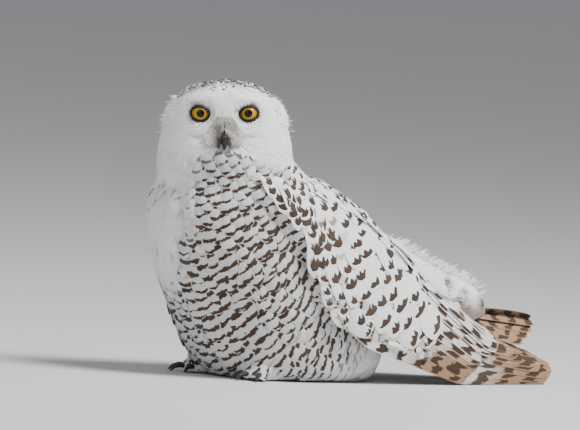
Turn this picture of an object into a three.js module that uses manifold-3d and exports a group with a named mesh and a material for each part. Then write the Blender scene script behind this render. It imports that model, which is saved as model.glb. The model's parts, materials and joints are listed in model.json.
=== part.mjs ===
// Snowy owl, a still life-size model of the whole bird: body upright at the breast and low at the
// tail, head turned to the bird's left, wings folded and let down until their tips reach the floor.
// Millimetres, +Z up, the bird faces -Y and its left side is +X. Every solid runs out to the tips of
// the plumage it stands for; the floor is at Z 0.
import * as THREE from "three";
import { mergeVertices } from "three/addons/utils/BufferGeometryUtils.js";
import Module from "manifold-3d";

const wasm = await Module();
wasm.setup();

const gap = 0.4; // clearance between neighbouring solids
const faceting = 0.2; // how far a merged facet may stray
const floorClear = 1.5; // belly plumage above the floor
const headYaw = 52; // degrees the face turns to the bird's left
const headPitch = 3; // degrees the face tips up
const headRoll = 4; // degrees the head tilts toward the bird's right
const headCentre = [0, -16.3, 275.7];
const neckTop = 219; // height of the cut between neck and head
const neckBottom = 204; // height of the cut between trunk and neck
const eyeRadius = 12.5;
const eyeSide = 25.2; // half the distance between the eye centres
const eyeForward = 39;
const eyeHeight = 2.7; // above the head centre
const lidWide = 20.5;
const lidHigh = 15;
const toeThick = 8.5; // feathered toe, half its width
const toeHeight = 7.3; // its middle above the floor, low enough to leave a flat sole
const clawLength = 17;
const clawSunk = 4; // how far a claw starts inside its toe
const clawThick = 2.9; // half the width of a claw at its root

// plumage outline of the upright body: height, front, back, half width
const bodyRows = [
  [floorClear, 0, 186, 58],
  [8, -9, 193, 67],
  [25, -25, 199, 74],
  [61, -48, 195, 80],
  [92, -66, 186, 82],
  [129, -81, 164, 82],
  [160, -89, 144, 82],
  [188, -86, 113, 79],
  [202, -78, 96, 76],
  [218, -75, 76, 73.5],
  [236, -76, 56, 70],
];

// plumage outline of the rump: distance back, top, bottom, half width
const rumpRows = [
  [30, 222, 70, 58],
  [80, 222, 44, 70],
  [111, 209, 30, 74],
  [143, 195, 24, 73],
  [172, 177, 24, 70],
  [202, 154, 29, 64],
  [238, 139, 46, 52],
  [290, 118, 56, 38],
  [325, 105, 62, 29],
  [344, 93, 66, 17],
  [350, 82, 72, 6],
];

// head outline about its own centre: height, half width, depth to the face, depth to the nape
const headRows = [
  [-66, 70, 62, 70],
  [-52, 71.5, 63, 72],
  [-41, 71.5, 62, 72],
  [-30, 70.5, 60, 71],
  [-20, 68.5, 58, 69],
  [-9, 65.5, 56.5, 67],
  [5, 60, 54, 63],
  [17, 52.5, 50, 57],
  [28, 42, 42, 48],
  [33, 31, 32, 38],
  [36.6, 17, 17, 20],
  [38, 4, 4, 4],
];

// folded wing: distance back, top edge X and Z, bottom edge X and Z, thickness, and how much higher
// the right wing carries its bottom edge
const wingRows = [
  [-33, 62, 219, 65, 212, 4, 0],
  [-22, 61, 222, 80, 195, 11, 0],
  [5, 58, 221, 88, 174, 14, 0],
  [42, 48, 208, 90, 138, 15, 0],
  [62, 45, 204, 91, 92, 14, 0],
  [80, 42, 200, 91, 71, 13, 0],
  [133, 36, 180, 87, 48, 11, 0],
  [188, 32, 149, 78, 34, 9, 9],
  [240, 32, 109, 69, 21, 7, 17],
  [283, 35, 79, 62, 9, 6, 21],
  [303, 35, 65, 58, 3, 5.5, 22],
  [326, 34, 53, 52, 0, 5, 17],
  [352, 32, 45, 46, 0, 4.5, 9],
  [380, 30, 37, 41, 0, 4, 1],
  [424, 27, 26, 33, 0, 3.4, 0],
  [433, 28, 19, 30, 7, 2.4, 0],
];
const secondaryCut = { point: [0, 196, 100], normal: [0, 1, 0.35] };
const primaryCut = { point: [0, 318, 50], normal: [0, 1, -0.3] };

// tail, a low roof of stacked feathers: distance back, half width, ridge height, eave height, thickness
const tailRows = [
  [292, 15, 79, 72, 6],
  [330, 25, 76, 62, 8],
  [370, 31, 74, 51, 8],
  [394, 28, 71, 50, 7],
  [409, 18, 67, 54, 5],
  [418, 6, 62, 58, 3],
];

// toes of one foot: direction in degrees from straight ahead toward the outside, reach from the ankle
const toes = [
  [-16, 25],
  [8, 30],
  [40, 27],
  [172, 20],
];
const feet = { right: [-37, 10], left: [50, 22] };

// A smooth line through rows, the first number of a row being where it applies.
function rowAt(rows, at) {
  let k = 0;
  while (k < rows.length - 2 && at > rows[k + 1][0]) k += 1;
  const [before, a] = [rows[Math.max(k - 1, 0)], rows[k]];
  const [b, after] = [rows[k + 1], rows[Math.min(k + 2, rows.length - 1)]];
  const step = b[0] - a[0];
  const t = (at - a[0]) / step;
  return a.map((value, i) => {
    const straight = (b[i] - value) / step;
    const slopeA = k === 0 ? straight : limited((value - before[i]) / (a[0] - before[0]), straight);
    const next = (after[i] - b[i]) / (after[0] - b[0]);
    const slopeB = k === rows.length - 2 ? straight : limited(straight, next);
    const bend = slopeA * step * t * (1 - t) ** 2 - slopeB * step * t ** 2 * (1 - t);
    return value + (b[i] - value) * t * t * (3 - 2 * t) + bend;
  });
}

// The slope shared by two stretches: none at a turning point, otherwise their harmonic mean.
function limited(one, two) {
  return one * two <= 0 ? 0 : (2 * one * two) / (one + two);
}

// Rows spread evenly from first to last, closer together toward both ends.
function stations(rows, count) {
  const [first, last] = [rows[0][0], rows[rows.length - 1][0]];
  const spread = (k) => (0.45 * k) / count + 0.55 * (0.5 - 0.5 * Math.cos((Math.PI * k) / count));
  return Array.from({ length: count + 1 }, (_, k) => rowAt(rows, first + (last - first) * spread(k)));
}

// A closed skin over rings of equal length. A round end is closed onto its centre, and the end of a
// slab, whose ring runs out along one face and back along the other, from face to face.
function loft(rings, slab = false) {
  const around = rings[0].length;
  const points = rings.flat();
  const index = [];
  for (let r = 0; r < rings.length - 1; r += 1) {
    for (let i = 0; i < around; i += 1) {
      const [a, b] = [r * around + i, r * around + ((i + 1) % around)];
      index.push(a, b, b + around, a, b + around, a + around);
    }
  }
  const lastRing = (rings.length - 1) * around;
  if (slab) {
    for (let i = 0; i < around / 2 - 1; i += 1) {
      const [a, b, c, d] = [i, i + 1, around - 2 - i, around - 1 - i];
      index.push(a, c, b, a, d, c);
      index.push(lastRing + a, lastRing + b, lastRing + c, lastRing + a, lastRing + c, lastRing + d);
    }
  } else {
    for (const ring of [rings[0], rings[rings.length - 1]]) {
      const middle = new THREE.Vector3();
      ring.forEach((p) => middle.addScaledVector(p, 1 / around));
      points.push(middle);
    }
    for (let i = 0; i < around; i += 1) {
      const next = (i + 1) % around;
      index.push(rings.length * around, next, i);
      index.push(rings.length * around + 1, lastRing + i, lastRing + next);
    }
  }
  const geometry = new THREE.BufferGeometry().setFromPoints(points);
  geometry.setIndex(index);
  return facingOut(geometry);
}

// The same geometry, turned inside out when its enclosed volume comes out negative.
function facingOut(geometry) {
  const p = geometry.attributes.position;
  const index = geometry.index.array;
  const corner = [new THREE.Vector3(), new THREE.Vector3(), new THREE.Vector3()];
  let volume = 0;
  for (let i = 0; i < index.length; i += 3) {
    corner.forEach((c, k) => c.fromBufferAttribute(p, index[i + k]));
    volume += corner[0].dot(corner[1].cross(corner[2]));
  }
  if (volume < 0) geometry.setIndex(Array.from(index).reverse());
  return geometry;
}

// Moves every point outward along its normal, for cutting a neighbour back to the gap.
function grown(geometry, by) {
  const wide = geometry.clone();
  wide.computeVertexNormals();
  const [p, n] = [wide.attributes.position, wide.attributes.normal];
  for (let i = 0; i < p.count; i += 1) {
    p.setXYZ(i, p.getX(i) + n.getX(i) * by, p.getY(i) + n.getY(i) * by, p.getZ(i) + n.getZ(i) * by);
  }
  wide.deleteAttribute("normal");
  return wide;
}

// A primitive with its seams closed, carrying positions alone.
function welded(geometry) {
  geometry.deleteAttribute("normal");
  geometry.deleteAttribute("uv");
  return mergeVertices(geometry, 1e-3);
}

function solid(geometry) {
  return new wasm.Manifold(new wasm.Mesh({
    numProp: 3,
    vertProperties: new Float32Array(geometry.attributes.position.array),
    triVerts: new Uint32Array(geometry.index.array),
  }));
}

// Everything on the far side of a plane, as a large block standing on it.
function halfSpace(point, normal, offset) {
  const size = 1400;
  const up = new THREE.Vector3(...normal).normalize();
  const block = welded(new THREE.BoxGeometry(size, size, size));
  block.translate(0, 0, size / 2 + offset);
  block.applyQuaternion(new THREE.Quaternion().setFromUnitVectors(new THREE.Vector3(0, 0, 1), up));
  block.translate(...point);
  return solid(block);
}

const signedPower = (value, power) => Math.sign(value) * Math.abs(value) ** power;

// Upright body: egg-shaped level sections, blunt at the breast and drawn out to the back.
function bodyShape() {
  const around = 28;
  const widest = 0.42; // share of the length where a section is widest
  return loft(stations(bodyRows, 15).map(([z, front, back, half]) => {
    const middle = front + (back - front) * widest;
    return Array.from({ length: around }, (_, i) => {
      const turn = (2 * Math.PI * i) / around;
      const along = Math.cos(turn) < 0 ? middle - front : back - middle;
      const y = middle + along * signedPower(Math.cos(turn), 0.94);
      return new THREE.Vector3(half * signedPower(Math.sin(turn), 0.94), y, z);
    });
  }));
}

// Rump and back: sections across the bird, peaked a little at the top.
function rumpShape() {
  const around = 20;
  return loft(stations(rumpRows, 11).map(([y, top, bottom, half]) => {
    const middle = bottom + (top - bottom) * 0.42;
    return Array.from({ length: around }, (_, i) => {
      const turn = (2 * Math.PI * i) / around;
      const rise = Math.cos(turn) > 0 ? top - middle : middle - bottom;
      return new THREE.Vector3(half * Math.sin(turn), y, middle + rise * Math.cos(turn));
    });
  }));
}

// Head in its own frame, the face toward -Y.
function headShape() {
  const around = 24;
  return loft(stations(headRows, 15).map(([z, half, face, nape]) => (
    Array.from({ length: around }, (_, i) => {
      const turn = (2 * Math.PI * i) / around;
      const blunt = Math.cos(turn) < 0 ? 0.82 : 1;
      const depth = Math.cos(turn) < 0 ? face : nape;
      return new THREE.Vector3(half * Math.sin(turn), depth * signedPower(Math.cos(turn), blunt), z);
    })
  )));
}

// A narrow curved horn: rings of given radii square to a path of points.
function horn(path, radii, around, flat = 1) {
  const curve = new THREE.CatmullRomCurve3(path.map((p) => new THREE.Vector3(...p)));
  let before = null;
  return loft(radii.map((radius, k) => {
    const t = k / (radii.length - 1);
    const centre = curve.getPointAt(t);
    const tangent = curve.getTangentAt(t);
    const side = new THREE.Vector3(tangent.y, -tangent.x, 0);
    if (side.length() < 0.01) side.set(1, 0, 0);
    side.normalize();
    if (before && side.dot(before) < 0) side.negate();  // a hooked path turns past upright
    before = side;
    const up = new THREE.Vector3().crossVectors(side, tangent);
    return Array.from({ length: around }, (_, i) => {
      const turn = (2 * Math.PI * i) / around;
      return centre.clone().addScaledVector(side, radius * Math.cos(turn))
        .addScaledVector(up, radius * flat * Math.sin(turn));
    });
  }));
}

// Folded wing as on the bird's left: a curved slab, its outer face a quarter round from edge to edge.
function wingShape(raised) {
  const across = 6;
  return loft(stations(wingRows, 18).map(([y, topX, topZ, bottomX, lowZ, thick, lift]) => {
    const bottomZ = lowZ + lift * raised;
    const outer = [];
    const inner = [];
    for (let i = 0; i <= across; i += 1) {
      const turn = (Math.PI / 2) * (i / across);
      const normal = [(topZ - bottomZ) * Math.sin(turn), (bottomX - topX) * Math.cos(turn)];
      const length = Math.hypot(...normal);
      const x = topX + (bottomX - topX) * Math.sin(turn);
      const z = bottomZ + (topZ - bottomZ) * Math.cos(turn);
      const deep = thick * (0.35 + 0.65 * Math.sin((Math.PI * i) / across) ** 0.5);
      outer.push(new THREE.Vector3(x, y, z));
      inner.unshift(new THREE.Vector3(x - (normal[0] / length) * deep, y, z - (normal[1] / length) * deep));
    }
    return outer.concat(inner);
  }), true);
}

function tailShape() {
  const across = 6;
  return loft(stations(tailRows, 9).map(([y, half, ridge, eave, thick]) => {
    const upper = [];
    const lower = [];
    for (let i = 0; i <= across; i += 1) {
      const side = (2 * i) / across - 1;
      const z = ridge - (ridge - eave) * Math.abs(side) ** 1.4;
      upper.push(new THREE.Vector3(half * side, y, z));
      lower.unshift(new THREE.Vector3(half * side * 0.97, y, z - thick * (1 - 0.4 * side * side)));
    }
    return upper.concat(lower);
  }), true);
}

// Foot at its ankle: four feathered toes and the leg above them; also the claw of each toe.
function footShapes([x, y], side) {
  const ankle = [x, y, toeHeight];
  const leg = horn([[x, y + 8, 58], [x, y + 4, 38], [x, y, toeThick * 2]], [13, 14, 11], 12);
  const pads = [];
  const claws = [];
  for (const [direction, reach] of toes) {
    const turn = THREE.MathUtils.degToRad(direction) * side;
    const out = [Math.sin(turn), -Math.cos(turn)];
    const at = (far, high) => [x + out[0] * far, y + out[1] * far, high];
    const path = [ankle, at(reach * 0.5, toeHeight), at(reach, toeHeight * 0.86)];
    pads.push(horn(path, [toeThick, toeThick * 1.04, toeThick * 0.9, toeThick * 0.35], 7));
    const root = at(reach - clawSunk, toeHeight);
    const mid = at(reach - clawSunk + clawLength * 0.6, toeHeight * 0.95);
    const tip = at(reach - clawSunk + clawLength, 1.1);
    claws.push(horn([root, mid, tip], [clawThick, clawThick, clawThick * 0.7, 0.7], 6));
  }
  return { leg, pads, claws };
}

// The gap between the lids, widening a little toward the front.
function opening(side) {
  const deep = 40;
  const cone = welded(new THREE.CylinderGeometry(0.62, 0.5, deep, 20));
  cone.rotateX(Math.PI / 2);
  cone.scale(lidWide, 1, lidHigh);
  return cone.translate(side * eyeSide, -eyeForward - deep / 2, eyeHeight);
}

// ---- bodies of the bird ----
const headPlace = new THREE.Matrix4().makeRotationFromEuler(new THREE.Euler(
  -THREE.MathUtils.degToRad(headPitch),
  -THREE.MathUtils.degToRad(headRoll),
  THREE.MathUtils.degToRad(headYaw),
  "ZYX",
));
headPlace.setPosition(...headCentre);
const placed = (geometry) => geometry.clone().applyMatrix4(headPlace);

const group = new THREE.Group();
group.name = "snowy_owl";

const finishOf = (color, roughness) => new THREE.MeshStandardMaterial({ color, roughness, metalness: 0 });
const finish = {
  plumage: finishOf(0xe9e6df, 0.9),
  flight: finishOf(0xe0d8ca, 0.75),
  eye: finishOf(0xd9a514, 0.12),
  horn: finishOf(0x1e1f22, 0.4),
};

function add(name, body, material) {
  const made = body.getMesh();
  const geometry = new THREE.BufferGeometry();
  geometry.setAttribute("position", new THREE.BufferAttribute(new Float32Array(made.vertProperties), 3));
  geometry.setIndex(Array.from(made.triVerts));
  const flat = geometry.toNonIndexed();
  flat.computeVertexNormals();
  const mesh = new THREE.Mesh(flat, finish[material]);
  mesh.name = name;
  group.add(mesh);
}

const mirrored = (geometry) => {
  const other = geometry.clone().applyMatrix4(new THREE.Matrix4().makeScale(-1, 1, 1));
  other.setIndex(Array.from(other.index.array).reverse());
  return other;
};

const wings = { left: wingShape(0), right: mirrored(wingShape(1)) };
const tail = tailShape();
const feetShapes = { left: footShapes(feet.left, 1), right: footShapes(feet.right, -1) };

const eyeShapes = [-1, 1].map((side) => {
  const ball = welded(new THREE.SphereGeometry(eyeRadius, 14, 8));
  return ball.translate(side * eyeSide, -eyeForward, eyeHeight);
});
const upperBill = horn(
  [[0, -50, -13], [0, -59.5, -18], [0, -65, -27], [0, -64.5, -36.5]],
  [4.6, 4.9, 4.9, 4.3, 3.1, 0.8], 14, 1.05,
);
const lowerBill = horn([[0, -50, -26], [0, -57, -31], [0, -62.5, -35]], [3.8, 3.6, 2.7, 1], 12, 0.6);

let plumage = solid(bodyShape()).add(solid(rumpShape())).add(solid(placed(headShape())));
for (const side of ["left", "right"]) {
  plumage = plumage.subtract(solid(grown(wings[side], gap)));
  for (const shape of [feetShapes[side].leg, ...feetShapes[side].pads, ...feetShapes[side].claws]) {
    plumage = plumage.subtract(solid(grown(shape, gap)));
  }
}
plumage = plumage.subtract(solid(grown(tail, gap)));
for (const shape of [...eyeShapes, upperBill, lowerBill]) {
  plumage = plumage.subtract(solid(placed(grown(shape, gap))));
}
for (const side of [-1, 1]) plumage = plumage.subtract(solid(placed(opening(side))));


const up = [0, 0, 1];
const aboveNeck = halfSpace([0, 0, neckTop], up, gap / 2);
const overNeck = halfSpace([0, 0, neckTop], up, -gap / 2);
const aboveTrunk = halfSpace([0, 0, neckBottom], up, gap / 2);
const overTrunk = halfSpace([0, 0, neckBottom], up, -gap / 2);
add("trunk", plumage.subtract(overTrunk).simplify(faceting), "plumage");
add("neck", plumage.intersect(aboveTrunk).subtract(overNeck).simplify(faceting), "plumage");
add("head", plumage.intersect(aboveNeck).simplify(faceting), "plumage");

add("eye_right", solid(placed(eyeShapes[0])), "eye");
add("eye_left", solid(placed(eyeShapes[1])), "eye");
add("bill_upper", solid(placed(upperBill)), "horn");
add("bill_lower", solid(placed(lowerBill)).subtract(solid(placed(grown(upperBill, gap)))), "horn");

const underFloor = halfSpace([0, 0, 0], [0, 0, -1], 0);
for (const side of ["left", "right"]) {
  const wing = solid(wings[side]).subtract(underFloor);
  const cuts = [secondaryCut, primaryCut].map(({ point, normal }) => [
    halfSpace(point, normal, gap / 2),
    halfSpace(point, normal, -gap / 2),
  ]);
  add(`wing_${side}`, wing.subtract(cuts[0][1]), "plumage");
  add(`secondaries_${side}`, wing.intersect(cuts[0][0]).subtract(cuts[1][1]), "flight");
  add(`primaries_${side}`, wing.intersect(cuts[1][0]), "flight");

  const { leg, pads, claws } = feetShapes[side];
  let foot = pads.map((pad) => solid(pad)).reduce((sum, pad) => sum.add(pad));
  foot = foot.subtract(underFloor).subtract(solid(grown(leg, gap)));
  claws.forEach((claw) => {
    foot = foot.subtract(solid(grown(claw, gap)));
  });
  add(`leg_${side}`, solid(leg), "plumage");
  add(`foot_${side}`, foot.simplify(faceting), "plumage");
  claws.forEach((claw, k) => add(`claw_${side}_${k + 1}`, solid(claw).subtract(underFloor), "horn"));
}
add("tail", solid(tail), "flight");

// the model stands at the middle of its own bounding box, on the floor
const box = new THREE.Box3().setFromObject(group);
const centre = box.getCenter(new THREE.Vector3());
group.position.set(-centre.x, -centre.y, -box.min.z);
group.updateMatrixWorld(true);

export default group;
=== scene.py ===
import json
from math import cos, pi, radians, sin, sqrt
from functools import partial
import bpy
import numpy as np
from mathutils import Matrix, Vector
from mathutils.bvhtree import BVHTree

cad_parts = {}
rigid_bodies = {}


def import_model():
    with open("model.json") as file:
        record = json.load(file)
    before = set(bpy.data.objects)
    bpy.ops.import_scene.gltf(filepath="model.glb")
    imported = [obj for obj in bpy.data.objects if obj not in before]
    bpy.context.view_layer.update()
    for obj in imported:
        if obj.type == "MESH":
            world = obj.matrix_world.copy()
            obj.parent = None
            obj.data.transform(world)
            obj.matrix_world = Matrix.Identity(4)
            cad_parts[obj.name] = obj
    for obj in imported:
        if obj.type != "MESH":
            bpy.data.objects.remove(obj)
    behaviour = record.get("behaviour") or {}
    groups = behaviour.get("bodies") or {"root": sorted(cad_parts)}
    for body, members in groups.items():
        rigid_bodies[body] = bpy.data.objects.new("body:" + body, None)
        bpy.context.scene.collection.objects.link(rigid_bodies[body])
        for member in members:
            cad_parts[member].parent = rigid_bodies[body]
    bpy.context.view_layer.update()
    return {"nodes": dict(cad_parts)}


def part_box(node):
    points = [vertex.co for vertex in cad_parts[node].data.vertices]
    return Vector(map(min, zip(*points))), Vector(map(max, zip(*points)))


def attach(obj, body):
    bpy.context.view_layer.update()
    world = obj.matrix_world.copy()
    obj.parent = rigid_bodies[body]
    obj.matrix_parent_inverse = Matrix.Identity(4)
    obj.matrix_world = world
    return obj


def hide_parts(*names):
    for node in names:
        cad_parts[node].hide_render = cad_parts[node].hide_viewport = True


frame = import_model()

chance = np.random.default_rng(11)
sides = {"left": 1, "right": -1}

# where the head stands on the bird, in millimetres from the point between the feet
headPose = {"centre": (0, -16.3, 275.7), "yaw": 52, "pitch": 3, "roll": 4, "eye": (25.2, -39, 2.7)}
eyeX, eyeY, eyeZ = headPose["eye"]
yaw, pitch, lean = (radians(headPose[key]) for key in ("yaw", "pitch", "roll"))
headAxes = Matrix.Rotation(yaw, 3, "Z") @ Matrix.Rotation(-lean, 3, "Y") @ Matrix.Rotation(-pitch, 3, "X")
headAxes = np.array(headAxes)  # columns: the head's left, backward and up
headAt = np.mean(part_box("eye_left"), axis=0) - headAxes @ np.array(headPose["eye"]) / 1000
originAt = headAt - np.array(headPose["centre"]) / 1000  # the point between the feet
toLeft = np.array([cos(yaw), sin(yaw), 0])  # seen square to the face
toBack = np.array([-sin(yaw), cos(yaw), 0])


def fromBird(points):
    return points / 1000 + originAt


def toBird(points):
    return (points - originAt) * 1000


def fromHead(points):
    return points / 1000 @ headAxes.T + headAt


def toHead(points):
    return (points - headAt) @ headAxes * 1000


def unit(v):
    return v / np.maximum(np.linalg.norm(v, axis=-1, keepdims=True), 1e-12)


def size(v):
    return np.linalg.norm(v, axis=-1)


def ease(low, high, value):
    t = np.clip((value - low) / (high - low), 0, 1)
    return t * t * (3 - 2 * t)


def hump(value, width):
    return np.exp(-(value / width) ** 2)


def joined(*parts):
    # columns side by side, single numbers repeated down theirs
    return np.stack(np.broadcast_arrays(*parts), axis=-1)


# shared mesh helpers

def deselectAll():
    for obj in bpy.context.scene.objects:
        obj.select_set(False)


def makeActive(obj):
    deselectAll()
    obj.select_set(True)
    bpy.context.view_layer.objects.active = obj


def newShape(adder, name, **settings):
    deselectAll()
    adder(**settings)
    obj = bpy.context.view_layer.objects.active
    obj.name = obj.data.name = name
    return obj


def editAll(obj, tool, **settings):
    makeActive(obj)
    bpy.ops.object.mode_set(mode="EDIT")
    bpy.ops.mesh.select_all(action="SELECT")
    tool(**settings)
    bpy.ops.object.mode_set(mode="OBJECT")


def faceOutward(obj):
    editAll(obj, bpy.ops.mesh.normals_make_consistent, inside=False)


def meshArrays(obj):
    arrays = []
    for key in ("co", "normal"):
        values = np.empty(len(obj.data.vertices) * 3)
        obj.data.vertices.foreach_get(key, values)
        arrays.append(values.reshape(-1, 3))
    return arrays


def movePoints(obj, points):
    obj.data.vertices.foreach_set("co", points.ravel())
    obj.data.update()


def setValues(mesh, label, values):
    mesh.attributes.new(label, "FLOAT", "POINT").data.foreach_set("value", values)


def finishPiece(obj, material, slotName, *nodes):
    obj.data.materials.clear()
    obj.data.materials.append(material)
    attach(obj, "root")
    if nodes:
        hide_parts(*nodes)


# skin: one body under all the feathers

skinSize = {"voxel": 0.0032, "smoothing": 14, "depthBody": 0.0065, "depthHead": 0.0035, "depthFoot": 0.002,
            "mostOfThickness": 0.42}
fleshNodes = ["trunk", "neck", "head", "wing_left", "wing_right"]
fleshNodes += ["leg_left", "leg_right", "foot_left", "foot_right"]


def makeEnvelope():
    copies = []
    for node in fleshNodes + ["eye_left", "eye_right", "bill_upper", "bill_lower"]:
        source = frame["nodes"][node]
        twin = source.copy()
        twin.data = source.data.copy()
        bpy.context.scene.collection.objects.link(twin)
        twin.parent = None
        twin.matrix_world = source.matrix_world
        twin.hide_set(False)
        copies.append(twin)
    body = copies[0]
    makeActive(body)
    for twin in copies:
        twin.select_set(True)
    bpy.ops.object.join()
    body.name = body.data.name = "owl_skin"
    bpy.ops.object.transform_apply(location=True, rotation=True, scale=True)
    editAll(body, bpy.ops.mesh.remove_doubles, threshold=0.00001)
    body.data.materials.clear()
    remesh = body.modifiers.new("even", "REMESH")
    remesh.mode = "VOXEL"
    remesh.voxel_size = skinSize["voxel"]
    relax = body.modifiers.new("relax", "SMOOTH")
    relax.factor = 0.5
    relax.iterations = skinSize["smoothing"]
    for modifier in (remesh.name, relax.name):
        bpy.ops.object.modifier_apply(modifier=modifier)
    return body


# soft folds: the crease beside the right wing, cheeks, brows and the swell of the breast, in millimetres
foldHabit = {"crease": 5.5, "creaseWidth": 5.0, "creaseAt": -57, "brow": 2.2, "socket": 2.6, "cheek": 2.4,
             "cheekWidth": 3.2, "swell": 1.6}


def foldDepth(points):
    rule, place = foldHabit, toBird(points)
    (x, y, z), (headX, headY, headZ) = place.T, toHead(points).T
    facing = ease(10, -20, y) * ease(62, 40, x)
    line = rule["creaseAt"] + 5 * np.sin((z - 110) / 34)
    tall = ease(92, 125, z) * ease(212, 180, z)
    depth = rule["crease"] * tall * facing * hump(place @ toLeft - line, rule["creaseWidth"])
    front = ease(-15, -35, headY)
    besideEye, overEye = np.abs(headX) - eyeX, headZ - eyeZ
    depth += rule["socket"] * front * hump(besideEye, 13) * hump(overEye + 2, 9)
    depth -= rule["brow"] * front * hump(besideEye + 5, 14) * hump(overEye - 13 + 0.25 * besideEye, 5)
    cheekLine = -27 + 0.004 * headX ** 2
    out = ease(8, 18, np.abs(headX)) * ease(46, 26, np.abs(headX))
    depth += rule["cheek"] * front * out * hump(headZ - cheekLine, rule["cheekWidth"])
    waves = np.sin(x / 13 + z / 21) + np.sin(z / 15 - y / 19 + 1)
    return depth + rule["swell"] * 0.5 * waves * ease(215, 180, z) * ease(8, 40, z)


def foldEnvelope():
    points, normals = meshArrays(skin)
    movePoints(skin, points - normals * foldDepth(points)[:, None] / 1000)


skin = makeEnvelope()
foldEnvelope()
shellPoints, shellNormals = meshArrays(skin)
shellFaces = np.empty(len(skin.data.loops), int)
skin.data.loops.foreach_get("vertex_index", shellFaces)
shellFaces = shellFaces.reshape(-1, 4)
shell = BVHTree.FromPolygons(shellPoints.tolist(), shellFaces.tolist())
faceNormals = unit(shellNormals[shellFaces].mean(axis=1))
shellSpots = shellPoints[shellFaces].mean(axis=1)
print("skin envelope", len(shellFaces), "faces")


def unwrapSkin():
    skin.data.uv_layers.new(name="OFBake")
    editAll(skin, bpy.ops.uv.smart_project, angle_limit=radians(66), island_margin=0.004)
    flat = np.empty(len(skin.data.loops) * 2)
    skin.data.uv_layers["OFBake"].data.foreach_get("uv", flat)
    return flat.reshape(-1, 4, 2).mean(axis=1)


faceUv = unwrapSkin()


def sinkSkin():
    points, normals = meshArrays(skin)
    onHead = ease(-62, -25, toHead(points)[:, 2])
    onFoot = 1 - ease(0.012, 0.03, points[:, 2] - originAt[2])
    depth = skinSize["depthBody"] + (skinSize["depthHead"] - skinSize["depthBody"]) * onHead
    depth = depth + (skinSize["depthFoot"] - depth) * onFoot
    start = 0.0006  # the ray sets out just under the surface
    for i, (p, n) in enumerate(zip(points, normals)):  # thin places sink less than half their thickness
        across = shell.ray_cast(p - n * start, -n, 0.02)
        if across[0] is not None:
            depth[i] = min(depth[i], skinSize["mostOfThickness"] * (across[3] + start))
    movePoints(skin, points - normals * depth[:, None])
    makeActive(skin)
    bpy.ops.object.shade_smooth()


sinkSkin()


def onShell(points):
    found = [shell.find_nearest(p) for p in points]
    return np.array([spot[0] for spot in found]), np.array([spot[2] for spot in found])


def shoot(origins, directions, reach):
    # the outermost crossing with the envelope, for each ray that meets it
    spots, faces = np.zeros((len(origins), 3)), np.full(len(origins), -1)
    for i, (origin, direction) in enumerate(zip(origins, directions)):
        spot = shell.ray_cast(origin, direction, reach)
        while spot[0] is not None:
            spots[i], faces[i] = spot[0], spot[2]
            spot = shell.ray_cast(spot[0] + Vector(direction) * 0.0005, direction, reach)
    return spots[faces >= 0], faces[faces >= 0]


# vanes: a feather is modelled once and laid along the body many times

def vaneTemplate(across, along):
    pattern = newShape(bpy.ops.mesh.primitive_grid_add, "vane", x_subdivisions=across, y_subdivisions=along,
                       size=2)
    editAll(pattern, bpy.ops.mesh.select_all, action="DESELECT")
    for edge in pattern.data.edges:
        a, b = (pattern.data.vertices[k].co for k in edge.vertices)
        edge.select = abs(abs(a.x) - 1) < 1e-4 and abs(a.x - b.x) < 1e-4
    bpy.ops.object.mode_set(mode="EDIT")
    bpy.ops.mesh.select_mode(type="EDGE")
    bpy.ops.mesh.bridge_edge_loops()
    bpy.ops.object.mode_set(mode="OBJECT")
    editAll(pattern, bpy.ops.mesh.fill_holes, sides=0)
    faceOutward(pattern)
    points, _ = meshArrays(pattern)
    faces = [list(p.vertices) for p in pattern.data.polygons]
    if pattern.data.polygons[0].normal.z < 0:
        faces = [f[::-1] for f in faces]
    bpy.data.objects.remove(pattern)
    return {"u": points[:, 0], "v": points[:, 1] * 0.5 + 0.5, "faces": faces}


smallVane = vaneTemplate(2, 3)
bodyVane = vaneTemplate(4, 6)
covertVane = vaneTemplate(6, 9)
flightVane = vaneTemplate(8, 26)
print("vane patterns ready")


def roundVane(v, base=0.3, widest=0.62):
    rise = base + (1 - base) * np.sin(np.clip(v / widest, 0, 1) * pi / 2)
    fall = np.sqrt(np.clip(1 - (np.clip(v - widest, 0, 1) / (1.001 - widest)) ** 2.4, 0, 1))
    return rise * fall + 0.02


def traceSpines(roots, heading, lengths, steps):
    # follows the lie of the plumage over the envelope, one short step at a time
    points, path, normals, first = roots.copy(), [], [], None
    for k in range(steps):
        spots, faces = onShell(points)
        first = faces if first is None else first
        normal = faceNormals[faces]
        path.append(spots)
        normals.append(normal)
        aim = heading(spots)
        flat = unit(aim - normal * (aim * normal).sum(axis=1, keepdims=True))
        points = spots + flat * (lengths / (steps - 1))[:, None]
    return np.stack(path, axis=1), np.stack(normals, axis=1), first


def alongSpine(values, v):
    # values (feathers, steps, 3) read at the fractions v, smoothly
    steps = values.shape[1]
    at = np.clip(v, 0, 1) * (steps - 1)
    low = np.clip(np.floor(at).astype(int), 0, steps - 2)
    t = (at - low)[None, :, None]
    p0, p1, p2, p3 = (values[:, np.clip(low + k, 0, steps - 1)] for k in (-1, 0, 1, 2))
    return 0.5 * (2 * p1 + (p2 - p0) * t + (2 * p0 - 5 * p1 + 4 * p2 - p3) * t ** 2
                  + (3 * p1 - p0 - 3 * p2 + p3) * t ** 3)


# every number that shapes a stamped feather, unless its tract says otherwise
vaneHabit = {"sink": 0.0028, "lift": 0.0010, "camber": 0.22, "roll": 0.12, "swing": 0.08,
             "lifts": np.zeros(1), "sharp": 40, "patch": (0.003, 0.003), "floor": 0.003, "lowest": 0.0003}


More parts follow.
